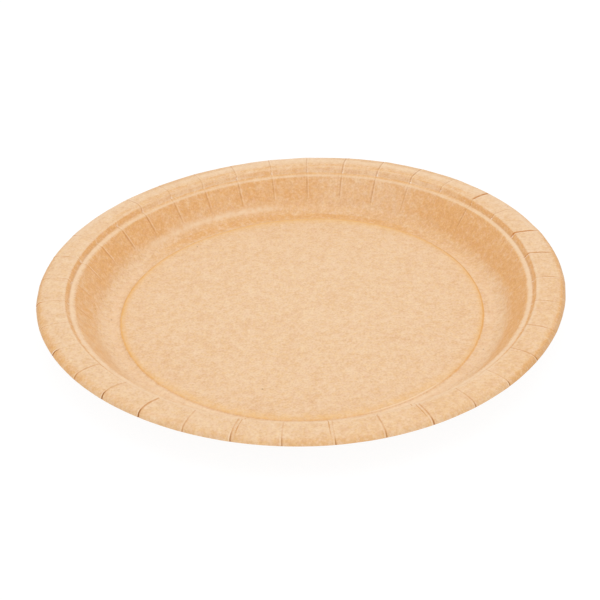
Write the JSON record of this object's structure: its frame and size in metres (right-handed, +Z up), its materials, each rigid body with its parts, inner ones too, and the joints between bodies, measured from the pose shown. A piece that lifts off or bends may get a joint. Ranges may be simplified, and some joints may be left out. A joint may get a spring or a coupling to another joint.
{
  "type": "paper plate",
  "caption": "Round shallow plate pressed from kraft paperboard, with a flat floor, a steep pleated wall, a narrow ledge and a broad rim rolled down at its edge.",
  "frame": {"origin": "centre of the plate, on the surface that it rests on", "axes": "+Z up, out of the dish; +X and +Y across the plate, with the first pleat 6.5 degrees from +X"},
  "size_m": [0.23, 0.23, 0.018],
  "materials": {
    "kraft_board": "uncoated unbleached kraft paperboard, satin where it was pressed"
  },
  "bodies": {
    "root": {"plate": "kraft_board"}
  },
  "joints": []
}
